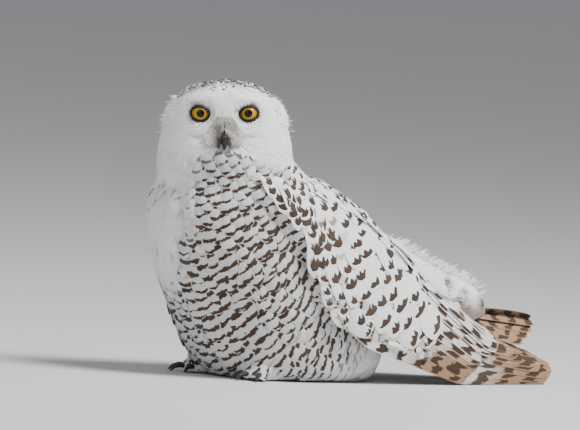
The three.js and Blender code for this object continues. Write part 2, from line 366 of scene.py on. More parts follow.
def vanePoints(template, path, normals, widths, shape, rule):
    u, v, step, count = template["u"], template["v"], 1e-3, len(path)
    normal = unit(alongSpine(normals, v))
    ahead = alongSpine(path, np.clip(v + step, 0, 1)) - alongSpine(path, np.clip(v - step, 0, 1))
    side = unit(np.cross(unit(ahead), normal))
    roll = chance.normal(0, rule["roll"], count)[:, None]
    swing = chance.normal(0, rule["swing"], count)[:, None]
    half = widths[:, None] * 0.5 * shape(v)[None, :]
    across = half * u[None, :]
    length = size(np.diff(path, axis=1)).sum(axis=1)[:, None]
    lift = (rule["sink"] + rule["lift"]) * v ** 0.75 - rule["sink"] + rule["lifts"][:, None] * v ** 1.5
    rise = lift + rule["camber"] * half * (1 - u ** 2) + across * roll
    sway = across + swing * length * v ** 2
    points = alongSpine(path, v) + side * sway[:, :, None] + normal * rise[:, :, None]
    floor, fade = rule["floor"], rule["floor"] - rule["lowest"]
    z = points[:, :, 2]
    eased = fade * np.exp((np.minimum(z, floor) - floor) / fade) + rule["lowest"]  # never quite on the floor
    points[:, :, 2] = np.where(z < floor, eased, z)
    return points


def stampVanes(name, template, material, path, normals, widths, faces, marks, nodes=(), shape=roundVane,
               **habit):
    rule = {**vaneHabit, **habit}
    u, v, count = template["u"], template["v"], len(path)
    points = vanePoints(template, path, normals, widths * np.ones(count), shape, rule)
    sizes = np.array([len(f) for f in template["faces"]])
    corners = np.concatenate(template["faces"])
    loops = (corners[None, :] + (np.arange(count) * len(v))[:, None]).ravel()
    mesh = bpy.data.meshes.new(name)
    mesh.vertices.add(count * len(v))
    mesh.vertices.foreach_set("co", points.ravel())
    mesh.loops.add(len(loops))
    mesh.loops.foreach_set("vertex_index", loops)
    mesh.polygons.add(count * len(sizes))
    starts = np.concatenate([[0], np.cumsum(np.tile(sizes, count))[:-1]])
    mesh.polygons.foreach_set("loop_start", starts)
    mesh.update(calc_edges=True)
    mesh.validate()
    if faces is None:  # long feathers stand side by side on a sheet of their own
        places = joined(0.04 + 0.92 * (np.arange(count) + 0.5) / count, 0.5)
    else:
        places = faceUv[faces]
    bake = places[:, None, :] + joined(u * 0.5, v - 0.5)[None] * np.array(rule["patch"])
    vane = np.tile(joined(u * 0.5 + 0.5, v), (count, 1))
    for label, flat in (("OFBake", bake.reshape(-1, 2)), ("vane", vane)):
        mesh.uv_layers.new(name=label).data.foreach_set("uv", flat[loops].ravel())
    for label, value in {**marks, "seed": chance.random(count)}.items():
        setValues(mesh, label, np.repeat(value * np.ones(count), len(v)))
    obj = bpy.data.objects.new(name, mesh)
    bpy.context.scene.collection.objects.link(obj)
    makeActive(obj)
    bpy.ops.object.shade_smooth_by_angle(angle=radians(rule["sharp"]))
    finishPiece(obj, material, "plumage" if faces is not None else "flight_feather", *nodes)
    print(name, count, "feathers", len(loops) - 2 * count * len(sizes), "triangles")


# shader effects that several plumage materials share

def feed(socket, value):
    # a word is a tone on a colour socket and a feather's own value on a number socket
    if isinstance(value, str):
        value = tones[value] if socket.type == "RGBA" else attribute(socket.id_data, value)
    if isinstance(value, bpy.types.NodeSocket):
        socket.id_data.links.new(value, socket)
    else:
        socket.default_value = value


def addNode(tree, kind, inputs=None, **settings):
    node = tree.nodes.new(kind)
    for key, value in settings.items():
        setattr(node, key, value)
    for key, value in (inputs or {}).items():
        feed(node.inputs[key], value)
    return node


def sums(operation, *values, clamp=False):
    tree = next(v.id_data for v in values if isinstance(v, bpy.types.NodeSocket))
    inputs = dict(enumerate(values))
    return addNode(tree, "ShaderNodeMath", inputs, operation=operation, use_clamp=clamp).outputs[0]


plus, minus, times, timesPlus, fromZero = (partial(sums, kind) for kind in (
    "ADD", "SUBTRACT", "MULTIPLY", "MULTIPLY_ADD", "ABSOLUTE"))


def ramp(value, low, high, toLow=0.0, toHigh=1.0):
    inputs = {"Value": value, "From Min": low, "From Max": high, "To Min": toLow, "To Max": toHigh}
    return addNode(value.id_data, "ShaderNodeMapRange", inputs, interpolation_type="SMOOTHSTEP").outputs[0]


def attribute(tree, name):
    return addNode(tree, "ShaderNodeAttribute", attribute_name=name).outputs["Fac"]


def blend(tree, amount, a, b):
    return addNode(tree, "ShaderNodeMix", {0: amount, 6: a, 7: b}, data_type="RGBA").outputs[2]


def vanePlace(tree):
    # across the vane from -1 to 1, its size, and the way along from root to tip
    uv = addNode(tree, "ShaderNodeUVMap", uv_map="vane").outputs[0]
    place = addNode(tree, "ShaderNodeSeparateXYZ", {0: uv})
    across = timesPlus(place.outputs[0], 2.0, -1.0)
    return across, fromZero(across), place.outputs[1]


def vaneNoise(across, along, seed, wide, tall, apart, detail):
    spot = addNode(seed.id_data, "ShaderNodeCombineXYZ", {
        0: timesPlus(across, wide / 2, wide / 2), 1: times(along, tall), 2: times(seed, apart)})
    inputs = {"Vector": spot.outputs[0], "Scale": 1.0, "Detail": detail}
    return minus(addNode(seed.id_data, "ShaderNodeTexNoise", inputs).outputs[0], 0.5)


def newGroup(name, inputs, outputs):
    group = bpy.data.node_groups.new(name, "ShaderNodeTree")
    for label, value in inputs.items():
        socket = group.interface.new_socket(label, in_out="INPUT", socket_type="NodeSocketFloat")
        socket.default_value = value
    for label in outputs:
        group.interface.new_socket(label, in_out="OUTPUT", socket_type="NodeSocketFloat")
    start = group.nodes.new("NodeGroupInput").outputs
    return group, start, group.nodes.new("NodeGroupOutput").inputs


def crossBars():
    # bars across a vane: how many, how thick, how far they bow toward the tip, how ragged they are
    group, start, end = newGroup("cross bars", {"Bars": 2.0, "Phase": 0.0, "Thick": 0.3, "Bow": 0.1,
                                                "Ragged": 0.1, "Reach": 0.8, "Parted": 0.0}, ["Mask"])
    x, u, v = vanePlace(group)
    wobble = times(vaneNoise(x, v, attribute(group, "seed"), 4.0, 6.0, 57.0, 2.0), start["Ragged"])
    along = plus(timesPlus(sums("POWER", u, 1.6), start["Bow"], v), wobble)
    wave = timesPlus(along, start["Bars"], start["Phase"])
    far = fromZero(minus(sums("FRACT", wave), 0.5))
    edge = ramp(minus(far, times(start["Thick"], 0.5)), -0.045, 0.045, 1.0, 0.0)
    inside = ramp(minus(timesPlus(wobble, 1.5, u), start["Reach"]), -0.08, 0.08, 1.0, 0.0)
    shaft = ramp(timesPlus(wobble, 0.6, u), start["Parted"], plus(start["Parted"], 0.08))
    whole = sums("MAXIMUM", shaft, minus(1.0, sums("GREATER_THAN", start["Parted"], 0.001)))
    feed(end[0], times(times(edge, inside), whole))
    return group


def crownSpot():
    # one dark spot near the tip, its upper edge cut into points
    group, start, end = newGroup("crown spot", {"Place": 0.78, "Wide": 0.5, "High": 0.09, "Ragged": 0.2,
                                                "Notch": 0.05}, ["Mask", "Rim"])
    x, u, v = vanePlace(group)
    seed = attribute(group, "seed")
    wobble = times(vaneNoise(x, v, seed, 5.0, 9.0, 83.0, 3.0), start["Ragged"])
    rim = sums("POWER", sums("DIVIDE", u, start["Wide"]), 2.0)
    arch = sums("SQRT", sums("SUBTRACT", 1.0, rim, clamp=True))
    count = sums("DIVIDE", 1.3, start["Wide"])
    tooth = sums("FRACT", timesPlus(x, count, timesPlus(seed, 7.0, times(wobble, 1.5))))
    tooth = times(fromZero(minus(tooth, 0.5)), 2.0)
    high = times(arch, start["High"])
    down = timesPlus(wobble, 0.12, minus(v, start["Place"]))
    toTip = minus(times(high, 0.7), down)
    toRoot = timesPlus(high, timesPlus(tooth, start["Notch"], 0.25), down)
    nearest = sums("MINIMUM", toTip, toRoot)
    feed(end[0], ramp(nearest, -0.004, 0.008))
    feed(end[1], ramp(nearest, 0.008, 0.035, 1.0, 0.0))
    return group


def barbRelief():
    # fine barbs slanting off the shaft, and a shallow shaft line
    group, start, end = newGroup("barb relief", {"Count": 60.0}, ["Height"])
    _, u, v = vanePlace(group)
    wave = sums("SINE", times(timesPlus(u, -0.35, v), times(start[0], 6.28)))
    feed(end[0], timesPlus(wave, 0.5, ramp(u, 0.0, 0.07, 3.0, 0.0)))
    return group


barsGroup = crossBars()
spotGroup = crownSpot()
barbGroup = barbRelief()


def effect(tree, group, **values):
    outputs = addNode(tree, "ShaderNodeGroup", values, node_tree=group).outputs
    return outputs[0] if len(outputs) == 1 else outputs


def newMaterial(name, roughness=0.7, sheen=0.0, specular=0.3, colour=(0.8, 0.8, 0.8, 1)):
    material = bpy.data.materials.new(name)
    material.use_nodes = True
    shader = material.node_tree.nodes["Principled BSDF"]
    shader.inputs["Roughness"].default_value = roughness
    shader.inputs["Sheen Weight"].default_value = sheen
    shader.inputs["Specular IOR Level"].default_value = specular
    shader.inputs["Base Color"].default_value = colour
    return material, material.node_tree, shader


def emboss(shader, height, strength, distance):
    inputs = {"Strength": strength, "Distance": distance, "Height": height}
    feed(shader.inputs["Normal"], addNode(height.id_data, "ShaderNodeBump", inputs).outputs[0])


def objectNoise(tree, scale, detail):
    place = addNode(tree, "ShaderNodeTexCoord").outputs["Object"]
    inputs = {"Vector": place, "Scale": scale, "Detail": detail}
    return addNode(tree, "ShaderNodeTexNoise", inputs).outputs[0]


# plumage colours, linear; the grey shade tone is painted shade, not a feather colour
tones = {
    "snow": (0.88, 0.88, 0.89, 1), "cream": (0.85, 0.83, 0.79, 1), "painted_shade": (0.60, 0.60, 0.605, 1),
    "bar": (0.044, 0.026, 0.015, 1), "dark": (0.013, 0.009, 0.007, 1), "buff": (0.35, 0.215, 0.13, 1),
    "faded": (0.078, 0.046, 0.028, 1), "ash": (0.30, 0.265, 0.225, 1), "soot": (0.02, 0.021, 0.024, 1),
}


def plumageMaterial(name, pattern, barbs=26.0, relief=0.25, sheen=0.12):
    material, tree, shader = newMaterial(name, roughness=0.78, sheen=sheen, specular=0.2)
    seed = attribute(tree, "seed")
    _, u, v = vanePlace(tree)
    base = blend(tree, times(seed, 0.55), "snow", "cream")
    # painted shade: each feather is greyed toward its root, where it lies under its neighbours
    base = blend(tree, ramp(v, 0.15, 0.6, 0.4, 0.0), base, "painted_shade")
    feed(shader.inputs["Base Color"], pattern(tree, base, u, v, seed))
    emboss(shader, effect(tree, barbGroup, Count=barbs), relief, 0.0004)
    return material


def barredPattern(tree, base, u, v, seed):
    strength = attribute(tree, "strength")
    phase = timesPlus(seed, 0.22, "phase")
    mask = effect(tree, barsGroup, Bars="bars", Phase=phase, Thick="thick", Bow=0.05, Ragged=0.17,
                  Reach=0.86)
    brown = blend(tree, times(seed, 0.8), "bar", "faded")
    # painted shade: the breast ground is greyed, more where its bars are strong
    base = blend(tree, timesPlus(strength, 0.62, 0.28), base, "painted_shade")
    return blend(tree, times(mask, strength, clamp=True), base, brown)


def spottedPattern(tree, base, u, v, seed):
    spot = effect(tree, spotGroup, Place="place", Wide="wide", High="high", Ragged=0.5, Notch=0.9)
    faint = effect(tree, barsGroup, Bars=3.0, Phase=0.15, Thick=0.3, Bow=0.1, Ragged=0.2, Reach=0.6)
    brown = blend(tree, spot[1], blend(tree, seed, "bar", "faded"), "dark")
    lower = blend(tree, times(faint, "second"), base, "faded")
    return blend(tree, times(spot[0], "strength", clamp=True), lower, brown)


def plainPattern(tree, base, u, v, seed):
    return blend(tree, "strength", blend(tree, "buff", base, "buff"), "faded")


def flightPattern(tree, base, u, v, seed):
    mask = effect(tree, barsGroup, Bars="bars", Phase="phase", Thick=0.46, Bow=0.05, Ragged=0.16, Reach=0.92,
                  Parted="parted")
    ground = blend(tree, times(ramp(v, 0.25, 0.95), "buff"), base, "buff")
    ground = blend(tree, times(ramp(u, 0.024, 0.06, 1.0, 0.0), 0.6), ground, "cream")
    brown = blend(tree, times(seed, 0.4), "bar", "faded")
    return blend(tree, times(mask, "strength"), ground, brown)


def headPattern(tree, base, u, v, seed):
    # the head marks, with painted shade under the brow and in the cheek creases laid over them
    return blend(tree, "painted_face_shade", spottedPattern(tree, base, u, v, 0.15), "dark")


def bristlePattern(tree, base, u, v, seed):
    ground = blend(tree, times(seed, 0.75), "ash", "cream")
    for mark, tone in (("tan", "faded"), ("fade", "snow"), ("dark", "soot")):
        ground = blend(tree, mark, ground, tone)
    return ground


barredFeather = plumageMaterial("barred feather", barredPattern)
spottedFeather = plumageMaterial("spotted feather", spottedPattern, barbs=34.0)
softFeather = plumageMaterial("soft white feather", plainPattern, barbs=14.0, relief=0.15)
flightFeather = plumageMaterial("flight feather", flightPattern, barbs=90.0, relief=0.3, sheen=0.04)
headFeather = plumageMaterial("head feather", headPattern, barbs=10.0, relief=0.1)
bristleFeather = plumageMaterial("bill bristle", bristlePattern, barbs=6.0, relief=0.05)


def skinMaterial():
    material, tree, shader = newMaterial("owl skin", roughness=0.85, specular=0.15)
    place = addNode(tree, "ShaderNodeTexCoord").outputs["Object"]
    noise = objectNoise(tree, 90.0, 3.0)
    wave = addNode(tree, "ShaderNodeTexWave", {"Vector": place, "Scale": 16.0, "Distortion": 9.0,
                                               "Detail": 2.0, "Detail Scale": 3.0}, bands_direction="Z")
    base = blend(tree, noise, "cream", "snow")
    marks = times(ramp(wave.outputs["Fac"], 0.74, 0.86), "barred")
    feed(shader.inputs["Base Color"], blend(tree, times(marks, 0.45), base, "faded"))
    emboss(shader, noise, 0.3, 0.001)
    return material


# body plumage: sections through the breast line and the back line

bodyLine = {
    # share of the way back: front Y, Z, back Y, Z, half width
    "rows": [(0.0, -78, 244, 56, 240, 69), (0.04, -84, 226, 60, 232, 72), (0.1, -91, 190, 76, 224, 80),
             (0.2, -91, 150, 100, 214, 84), (0.32, -72, 95, 128, 202, 86), (0.45, -35, 35, 160, 184, 84),
             (0.56, 5, 0, 186, 165, 82), (0.68, 90, -3, 215, 150, 74), (0.8, 200, 2, 255, 134, 58),
             (0.9, 275, 45, 300, 117, 40), (1.0, 345, 66, 350, 92, 10)],
    "meridians": 62, "fine": 90, "rowStep": 12.4,
    # by share of the way back, in millimetres
    "length": ([0, 0.15, 0.4, 0.55, 0.7, 1], [22, 31, 37, 37, 32, 30]),
    "width": ([0, 0.2, 0.5, 0.6, 1], [13, 21, 24, 20, 18]),
    "gap": 0.011,
    "lean": (0.616, 0.788, 0),  # the way the side plumage leans, back over the left wing
}


def readRows(rows, at):
    rows = np.array(rows)
    return [np.interp(at, rows[:, 0], rows[:, k]) for k in range(1, rows.shape[1])]


def bodyPoint(share, turn):
    frontY, frontZ, backY, backZ, half = readRows(bodyLine["rows"], share)
    y = (frontY + backY) / 2 + np.cos(turn) * (frontY - backY) / 2
    z = (frontZ + backZ) / 2 + np.cos(turn) * (frontZ - backZ) / 2
    return joined(np.sin(turn) * half, y, z)


def wingShell():
    points, faces = [], []
    for side in sides:
        for node in ("wing_", "secondaries_", "primaries_"):
            mesh = frame["nodes"][node + side].data
            base = len(points)
            points += [v.co.to_tuple() for v in mesh.vertices]
            faces += [[base + k for k in p.vertices] for p in mesh.polygons]
    return BVHTree.FromPolygons(points, faces)


wingSkin = wingShell()


def offWing(points, clear):
    # true where a root is further from the wing solids than the given distance
    return np.array([wingSkin.find_nearest(p, clear)[0] is None for p in points])


def bodyRoots(meridians, rowStep):
    # one row for each root: its place, its aim, the turn of its meridian, the share of the way back
    strands = []
    shareLine = np.linspace(0, 1, bodyLine["fine"])
    for j in range(meridians):
        turn = 2 * pi * (j + 0.5) / meridians - pi
        line, _ = onShell(fromBird(bodyPoint(shareLine, turn)))
        steps = size(np.diff(line, axis=0))
        far = np.concatenate([[0], np.cumsum(steps)]) * 1000
        stops = np.arange((j % 2) * 0.5, far[-1] / rowStep) * rowStep
        stops = stops + chance.normal(0, 0.7, len(stops))
        spot, ahead, behind = (joined(*(np.interp(stops + more, far, line[:, k]) for k in range(3)))
                               for more in (0, 6, -6))
        share = np.interp(stops, far, shareLine)
        strands.append(np.hstack([spot, unit(ahead - behind), joined(turn, share)]))
    strands = np.concatenate(strands)
    strands[:, :3] += chance.normal(0, 0.0010, (len(strands), 3))
    strands[:, 3:6] = unit(strands[:, 3:6] + chance.normal(0, 0.06, (len(strands), 3)))
    return strands


def nearWingFront(place):
    # the strip where side plumage runs on over the wing's front edge
    edge = np.interp(place[:, 2], [68, 130, 174, 212, 222], [84, 72, 32, -6, -16])
    return (place[:, 1] < edge) & (place[:, 0] > 40)


def breastMarks(place, shares, lengths):
    bars = lengths / (bodyLine["rowStep"] / 1000)
    across, up = place @ toLeft, place[:, 2]
    throat = ease(253, 238, up + 0.12 * across)
    vent = 1 - ease(0.6, 0.72, shares)
    strip = ease(-45, -58, across) * ease(104, 122, up)
    upper = ease(-33, -50, across) * ease(165, 190, up)
    bare = np.clip(strip + upper, 0, 1)
    dropped = np.where(chance.random(len(shares)) > 0.05, 1.0, 0.35)
    # strength sets the bars and also the painted shade on the breast ground
    return {"bars": bars, "phase": 0.5 - 0.86 * bars - 0.11,
            "strength": throat * vent * dropped * (1 - bare),
            "thick": np.interp(shares, [0, 0.15, 0.3, 0.6], [0.28, 0.38, 0.41, 0.36])}


def mantleMarks(place, shares, lengths):
    count = len(shares)
    return {"strength": 1.0 * (chance.random(count) > 0.15), "place": 0.8, "second": 0.0,
            "wide": chance.uniform(0.6, 0.95, count), "high": chance.uniform(0.13, 0.24, count)}


def fillBare(strands, gap, allowed):
    # adds a root wherever the shell has none within the gap, pointing like its nearest neighbour
    spots = shellSpots[allowed]
    spots = spots[chance.permutation(len(spots))]
    distance, nearest = np.full(len(spots), 9.0), np.zeros(len(spots), int)
    for start in range(0, len(spots), 500):
        part = slice(start, start + 500)
        apart = size(spots[part, None] - strands[None, :, :3])
        distance[part], nearest[part] = apart.min(axis=1), apart.argmin(axis=1)
    added = []
    for i in np.nonzero(distance > gap)[0]:
        if all(np.linalg.norm(spots[i] - spots[j]) > gap for j in added):
            added.append(i)
    return np.concatenate([strands, np.hstack([spots[added], strands[nearest[added], 3:]])])


def bodyPlumage():
    strands = bodyRoots(bodyLine["meridians"], bodyLine["rowStep"])
    turns, shares, place = strands[:, 6], strands[:, 7], toBird(strands[:, :3])
    keep = offWing(strands[:, :3], 0.0015) | nearWingFront(place)
    keep &= chance.random(len(strands)) < np.interp(shares, [0, 0.8, 0.9, 1], [1, 0.8, 0.5, 0.25])
    keep &= ((np.abs(turns) < radians(100)) & (shares < 0.86)) | (shares < 0.42)
    spots = toBird(shellSpots)
    under = (spots[:, 2] < 120) & (spots[:, 2] > 14) & (spots[:, 1] > 20) & (spots[:, 1] < 250)
    allowed = np.nonzero(under)[0]
    allowed = allowed[offWing(shellSpots[allowed], 0.0010)]
    front = nearWingFront(spots) & (spots[:, 2] > 60) & (spots[:, 2] < 225)
    strands = fillBare(strands[keep], bodyLine["gap"], np.union1d(allowed, np.nonzero(front)[0]))
    back = np.abs(strands[:, 6]) > radians(112)
    for name, group, material, marks in (("breast_plumage", ~back, barredFeather, breastMarks),
                                         ("mantle_plumage", back, spottedFeather, mantleMarks)):
        roots, aim, turn, share = (strands[group, part] for part in (slice(3), slice(3, 6), 6, 7))
        place, count = toBird(roots), len(roots)
        x, y, z = place.T
        sweep = ease(-20, 55, y) * ease(25, 60, np.abs(x)) * ease(20, 60, z)
        lean = 0.38 * ease(-60, 0, place @ toLeft) * (np.abs(turn) < 1.7)
        aim = aim + np.array([0, 1.0, 0.1]) * sweep[:, None]
        aim = unit(aim + np.array(bodyLine["lean"]) * lean[:, None])
        lengths = np.interp(share, *bodyLine["length"]) / 1000 * chance.uniform(0.92, 1.1, count)
        widths = np.interp(share, *bodyLine["width"]) / 1000 * chance.uniform(0.88, 1.1, count)
        path, normals, faces = traceSpines(roots, lambda spots: aim, lengths, 5)
        stampVanes(name, bodyVane, material, path, normals, widths, faces, marks(place, share, lengths))


bodyPlumage()

# rump: silky strands, a loose fringe along the ridge

rumpHabit = {
    "meridians": 230, "rowStep": 8.0, "length": 36, "width": 5.5, "fringe": 560, "fringeLength": 15,
    "fringeWidth": 1.5, "slope": 0.052,  # the touches sink this much for each millimetre back
    # brown and tan touches: how far to the side and up, half size both ways, strength, buff
    "touches": [(231, 113, 6, 9, 1.0, 0), (247, 95, 8, 6, 1.0, 0.2), (273, 95, 7, 11, 1.0, 0.3),
                (250, 106, 5, 4, 0.8, 0.2), (240, 86, 36, 7, 0.2, 1.0)],
}


def rumpTouches(place):
    strength, buff = np.zeros(len(place)), np.zeros(len(place))
    level = place[:, 2] + rumpHabit["slope"] * (place @ toBack)
    for across, up, wide, tall, dark, tanned in rumpHabit["touches"]:
        near = hump(place @ toLeft - across, wide) * hump(level - up, tall)
        strength, buff = np.maximum(strength, dark * near), np.maximum(buff, tanned * near)
    return {"strength": strength, "buff": buff}


def rumpPlumage():
    strands = bodyRoots(rumpHabit["meridians"], rumpHabit["rowStep"])
    turns, shares = strands[:, 6], strands[:, 7]
    keep = ((np.abs(turns) > radians(92)) & (shares > 0.36)) | (shares > 0.82)
    keep &= offWing(strands[:, :3], 0.0005)
    roots, aim = strands[keep, :3], strands[keep, 3:6]
    lengths = rumpHabit["length"] / 1000 * chance.uniform(0.8, 1.15, len(roots))
    lengths = lengths * np.interp(toBird(roots)[:, 1], [285, 335], [1, 0.4])
    path, normals, faces = traceSpines(roots, lambda spots: aim, lengths, 4)
    stampVanes("rump_plumage", smallVane, softFeather, path, normals, rumpHabit["width"] / 1000, faces,
               rumpTouches(toBird(path[:, 2])), swing=0.05, roll=0.10, sink=0.003, lift=0.0008)


looseHabit = {"sink": 0.0, "lift": 0.0, "roll": 0.3}


def stampHairs(name, path, aim, beside, width, faces, swing):
    # loose hairs that stand off the plumage
    across = np.repeat(unit(np.cross(aim, beside))[:, None], path.shape[1], axis=1)
    stampVanes(name, smallVane, softFeather, path, across, width / 1000, faces,
               {"strength": 0.0, "buff": 0.0}, swing=swing, **looseHabit)


def rumpFringe():
    count = rumpHabit["fringe"]
    y = np.sort(chance.uniform(212, 343, count))
    within = fromBird(joined(chance.normal(0, 7, count), y, 75.0))
    spots, faces = shoot(within, np.tile([0.0, 0.0, 1.0], (count, 1)), 0.2)
    count = len(spots)
    aim = unit(joined(toBird(spots)[:, 0] / 18, 0.85, 0.85) + chance.normal(0, 0.12, (count, 3)))
    lengths = rumpHabit["fringeLength"] / 1000 * chance.uniform(0.5, 1.25, count)
    t, far = np.linspace(0, 1, 4)[None, :, None], lengths[:, None, None]
    path = spots[:, None] - faceNormals[faces][:, None] * 0.003 + aim[:, None] * far * t * 1.2
    path = path - np.array([0, 0, 1.0]) * far * 0.22 * t ** 2
    stampHairs("rump_fringe", path, aim, np.array([1.0, 0.2, 0.1]), rumpHabit["fringeWidth"], faces, 0.1)


rumpPlumage()
rumpFringe()

# wings

wingLine = {
    # distance back, top edge X and Z, lower edge X and Z, and how much higher the right wing has that edge
    "rows": [(-33, 62, 219, 65, 212, 0), (-22, 61, 222, 80, 195, 0), (5, 58, 221, 88, 174, 0),
             (42, 48, 208, 90, 138, 0), (62, 45, 204, 91, 92, 0), (80, 42, 200, 91, 71, 0),
             (133, 36, 180, 87, 48, 0), (188, 32, 149, 78, 34, 9), (240, 32, 109, 69, 21, 17),
             (283, 35, 79, 62, 10, 21), (303, 35, 65, 58, 5, 22), (326, 34, 53, 52, 2, 17),
             (352, 32, 45, 46, 2, 9), (380, 30, 37, 41, 2, 1), (424, 27, 26, 33, 2, 0),
             (433, 28, 19, 30, 7, 0)],
}


def wingPoint(y, b, side):
    # b runs from 0 on the top edge to 1 on the lower one
    topX, topZ, lowX, lowZ, lift = readRows(wingLine["rows"], y)
    if side < 0:
        lowZ = lowZ + lift
    turn = b * pi / 2
    x = topX + (lowX - topX) * np.sin(turn)
    return joined(x * side, y, lowZ + (topZ - lowZ) * np.cos(turn))


def wingNormal(y, b, side):
    step = 0.02
    across = wingPoint(y, b + step, side) - wingPoint(y, b - step, side)
    along = wingPoint(y + 2, b, side) - wingPoint(y - 2, b, side)
    return unit(np.cross(along, across) * -side)


covertHabit = {
    # steps across the wing, furthest start back, step along, length and width at the front and the back
    "rows": 12, "back": 184, "step": (11, 26), "length": (24, 52), "width": (16, 41),
    # how far the feathers hang down from the wing's length, in degrees, at four distances back
    "hang": ([-30, 40, 120, 185], [72, 66, 48, 14]),
    # where the first feathers start: share across the wing, distance back
    "frontEdge": ([0, 0.25, 0.5, 0.8, 1], [-28, -19, 10, 50, 66]),
}


def backward(pair, y):
    # runs from the first value to the second over the length of the coverts
    return pair[0] + (pair[1] - pair[0]) * np.clip((y + 26) / 200, 0, 1)


def coverSteps(y, b, length, side, steps=6):
    # a spine of the given length laid on the wing's own surface, sloping a little outward
    stretch = size(wingPoint(y + 1, b, side) - wingPoint(y, b, side))
    t = np.linspace(0, 1, steps)[None, :]
    arc = wingPoint(y, np.clip(b + 0.02, 0, 1), side) - wingPoint(y, b - 0.02, side)
    arc = size(arc) / 0.04
    hang = np.radians(np.interp(y, *covertHabit["hang"])) * (0.3 + 0.7 * ease(0, 0.3, b))
    lowest = 1.0 - 0.10 * ease(85, 110, y)
    down = np.clip((lowest - b) * arc / length, 0, np.sin(hang))
    along = y[:, None] + (length * np.sqrt(1 - down ** 2) / stretch)[:, None] * t
    across = np.clip(b[:, None] + (length * down / arc)[:, None] * t, 0, 1)
    return fromBird(wingPoint(along, across, side)), wingNormal(along, across, side)


def wingCoverts(sideName):
    side, rule = sides[sideName], covertHabit
    starts = []
    for j in range(rule["rows"]):
        share = 0.02 + 0.95 * j / (rule["rows"] - 1)
        place = np.interp(share, *rule["frontEdge"])
        place += (j % 2) * 0.5 * np.interp(place, [-36, 176], rule["step"])
        while place < rule["back"] + 16 * (share > 0.55):
            starts.append((place + chance.normal(0, 1.2), share + chance.normal(0, 0.008)))
            place += backward(rule["step"], place)
    y, b = np.array(starts).T
    b = np.clip(b, 0, 0.99)
    kept = b < 1 - 0.12 * ease(85, 105, y)
    y, b = y[kept], b[kept]
    count = len(y)
    lengths = backward(rule["length"], y) * chance.uniform(0.93, 1.08, count)
    widths = backward(rule["width"], y) / 1000 * chance.uniform(0.9, 1.08, count)
    widths = widths * (1 - 0.35 * ease(0.65, 0.85, b))
    path, normals = coverSteps(y, b, lengths, side)
    _, faces = onShell(path[:, 0])
    marks = {"strength": 1.0 * (chance.random(count) > 0.08),
             "place": 0.80 + 0.05 * (b > 0.8) + 0.02 * chance.normal(0, 1, count),
             "wide": chance.uniform(0.58, 0.86, count),
             "high": chance.uniform(0.08, 0.125, count) * np.interp(y, [-30, 30, 100], [1.5, 1.35, 1.05]),
             "second": np.interp(y, [-30, 60, 90], [1.0, 0.8, 0.0]) * (chance.random(count) > 0.15)}
    stampVanes("wing_coverts_" + sideName, covertVane, spottedFeather, path, normals, widths, faces, marks,
               camber=0.14, roll=0.07, swing=0.05, lift=0.0026, sink=0.0010)


for sideName in sides:
    wingCoverts(sideName)


def flightShape(v):
    rise = 0.35 + 0.65 * np.sin(np.clip(v / 0.25, 0, 1) * pi / 2)
    fall = np.sqrt(np.clip(1 - (np.clip(v - 0.88, 0, 1) / 0.1201) ** 2.2, 0, 1))
    return rise * fall + 0.01


longHabit = {"roll": 0.02, "swing": 0.0, "sink": 0.0, "lift": 0.0, "shape": flightShape}
longSteps = np.linspace(0, 1, 9)[None, :]


def layFlight(group, sideName, starts, ends, levels, widths, marks):
    # each feather lies on the wing's own surface, from a start to an end: distance back, share across
    side, count = sides[sideName], len(levels)
    y = starts[0][:, None] + (ends[0] - starts[0])[:, None] * longSteps
    b = starts[1][:, None] + (ends[1] - starts[1])[:, None] * longSteps ** 0.9
    normals = wingNormal(y, b, side)
    path = fromBird(wingPoint(y, b, side)) + normals * levels[:, None, None] / 1000
    node = group + "_" + sideName
    stampVanes(node + "_vanes", flightVane, flightFeather, path, normals, widths / 1000, None, marks,
               nodes=[node], patch=(0.8 / count, 0.9), camber=0.07, **longHabit)


def primaries(sideName):
    k = np.arange(10)  # outermost first
    tips = np.array([370, 402, 424, 431, 428, 417, 404, 390, 376, 362]) + chance.normal(0, 1.5, 10)
    shares = np.array([0.98, 0.93, 0.85, 0.72, 0.58, 0.45, 0.36, 0.3, 0.25, 0.2])
    marks = {"bars": (tips - 200) / 36, "phase": chance.random(10), "strength": 0.95, "parted": 0.0,
             "buff": np.linspace(1.7, 1.1, 10) * chance.uniform(0.8, 1.1, 10)}
    layFlight("primaries", sideName, (200 - 3 * k, 0.97 - 0.035 * k), (tips, shares), -3 + 0.22 * k,
              25 - 0.6 * k, marks)


def secondaries(sideName):
    k = np.arange(11)
    starts = np.interp(k, [0, 3, 10], [98, 138, 145])
    ends = 292 + 5.2 * k + chance.normal(0, 1.5, 11)
    marks = {"bars": (ends - starts) / 29, "phase": chance.random(11), "strength": 1.0, "parted": 0.14,
             "buff": np.array([1.6, 1.5, 1.3, 1.0, 0.7] + [0.4] * 6)}
    layFlight("secondaries", sideName, (starts, 0.985 - 0.076 * k), (ends, 0.97 - 0.068 * k),
              -0.6 + 0.26 * k, 27, marks)


for sideName in sides:
    primaries(sideName)
    secondaries(sideName)

# tail

tailHabit = {
    # the roof of the tail: distance back, half width, ridge height, eave height
    "rows": [(240, 9, 86, 84), (292, 15, 79, 72), (330, 25, 76, 62), (370, 31, 74, 51), (400, 31, 71, 48),
             (420, 31, 68, 46)],
    "feathers": 8, "width": 33, "root": 240, "tip": 419, "shorter": 40, "spread": 0.82,
}


def roofPoint(y, a):
    half, ridge, eave = readRows(tailHabit["rows"], y)
    return joined(half * a, y, ridge - (ridge - eave) * np.abs(a) ** 1.4)


